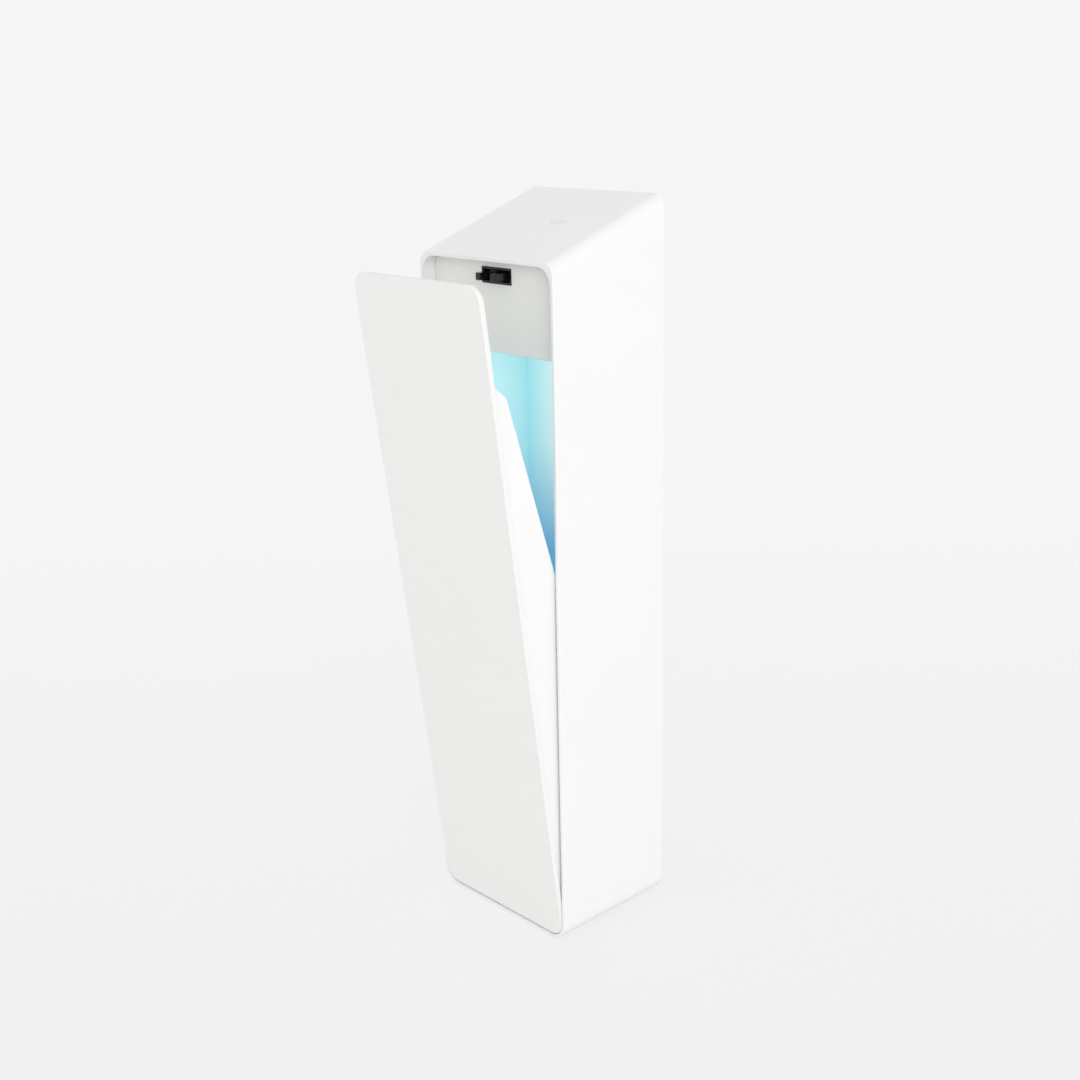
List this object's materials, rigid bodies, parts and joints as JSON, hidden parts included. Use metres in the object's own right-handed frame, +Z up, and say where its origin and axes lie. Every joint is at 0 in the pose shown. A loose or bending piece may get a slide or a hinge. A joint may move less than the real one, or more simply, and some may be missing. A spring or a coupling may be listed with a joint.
{
  "type": "chopstick sterilizer box",
  "caption": "Tall white box with a slanted roof and a tilt-out front door that stores chopsticks upright under an ultraviolet lamp.",
  "frame": {"origin": "centre of the housing's flat base", "axes": "+Z up along the box's height, -Y towards the door at the front, +Y to the back that hangs on a wall, +X to the right as seen from behind the door's front"},
  "size_m": [0.086, 0.107, 0.3398],
  "materials": {
    "shell_white": "satin moulded ABS, lit cyan inside the chamber",
    "door_white": "fine satin ABS",
    "inner_white": "fine satin ABS",
    "reflector": "diffuse reflective sheet lit cyan",
    "basket_white": "satin polypropylene",
    "latch_black": "satin acetal",
    "steel": "zinc-plated",
    "rubber_grey": "soft silicone",
    "silicone_white": "soft silicone",
    "acetal": "natural acetal",
    "quartz": "clear",
    "board_green": "solder mask",
    "board_metal": "white solder mask on aluminium",
    "chip_black": "moulded epoxy",
    "led_emitter": "glowing lens",
    "battery_wrap": "shrink sleeve",
    "lead_red": "silicone insulation",
    "lead_black": "silicone insulation",
    "light_pipe": "frosted translucent acrylic",
    "magnet": "nickel-plated"
  },
  "bodies": {
    "housing": {"housing_shell": "shell_white", "back_cover": "shell_white", "back_cover_screws": "steel", "reflector_panel": "reflector", "upper_fascia": "inner_white", "fascia_screws": "steel", "uv_window": "quartz", "window_gasket": "rubber_grey", "lamp_board": "board_metal", "uv_leds": "led_emitter", "lamp_board_screws": "steel", "control_board": "board_green", "control_board_screws": "steel", "board_chips": "chip_black", "usb_socket": "steel", "battery_plug": "inner_white", "lamp_header": "acetal", "battery_cell": "battery_wrap", "battery_cradle": "inner_white", "battery_lead_red": "lead_red", "battery_lead_black": "lead_black", "status_light": "light_pipe", "latch_case": "latch_black", "latch_screws": "steel", "hinge_pin_left": "steel", "hinge_pin_right": "steel", "door_stop_pads": "rubber_grey"},
    "wall_plate": {"wall_plate": "inner_white"},
    "door": {"door_panel": "door_white", "door_magnet": "magnet", "door_cheek_left": "inner_white", "door_cheek_right": "inner_white", "hinge_bush_left": "acetal", "hinge_bush_right": "acetal", "door_cheek_screws": "steel", "latch_strike": "latch_black", "strike_screws": "steel"},
    "latch_carriage": {"latch_carriage": "latch_black", "latch_spring": "steel"},
    "latch_jaw_left": {"latch_jaw_left": "latch_black"},
    "latch_jaw_right": {"latch_jaw_right": "latch_black"},
    "port_cover": {"port_cover": "silicone_white"},
    "drip_tray": {"drip_tray": "basket_white"},
    "basket": {"chopstick_basket": "basket_white"}
  },
  "joints": [
    {"name": "door_hinge", "type": "hinge", "parent": "housing", "child": "door", "pos_m": [0, -0.029, 0.006], "axis": [1, 0, 0], "range_deg": [-7.3, 0]},
    {"name": "latch_slide", "type": "slide", "parent": "housing", "child": "latch_carriage", "axis": [0, 1, 0], "range_m": [0, 0.0052]},
    {"name": "latch_jaw_left_swing", "type": "hinge", "parent": "latch_carriage", "child": "latch_jaw_left", "pos_m": [-0.0056, -0.0188, 0.3073], "axis": [0, 0, 1], "range_deg": [0, 6]},
    {"name": "latch_jaw_right_swing", "type": "hinge", "parent": "latch_carriage", "child": "latch_jaw_right", "pos_m": [0.0056, -0.0188, 0.3073], "axis": [0, 0, 1], "range_deg": [-6, 0]},
    {"name": "port_cover_flap", "type": "hinge", "parent": "housing", "child": "port_cover", "pos_m": [-0.043, -0.0085, 0.2901], "axis": [0, -1, 0], "range_deg": [0, 100], "stiffness_Nm_per_rad": 0.0005},
    {"name": "drip_tray_lift", "type": "slide", "parent": "housing", "child": "drip_tray", "axis": [0, 0, 1], "range_m": [0, 0.015]},
    {"name": "basket_lift", "type": "slide", "parent": "drip_tray", "child": "basket", "axis": [0, 0, 1], "range_m": [0, 0.1]},
    {"name": "wall_plate_slide", "type": "slide", "parent": "housing", "child": "wall_plate", "axis": [0, 0, -1], "range_m": [0, 0.024]}
  ],
  "couplings": [
    {"joint": "latch_slide", "follows": "door_hinge", "m_per_rad": -0.0408},
    {"joint": "latch_jaw_left_swing", "follows": "door_hinge", "ratio": -0.82},
    {"joint": "latch_jaw_right_swing", "follows": "door_hinge", "ratio": 0.82}
  ]
}
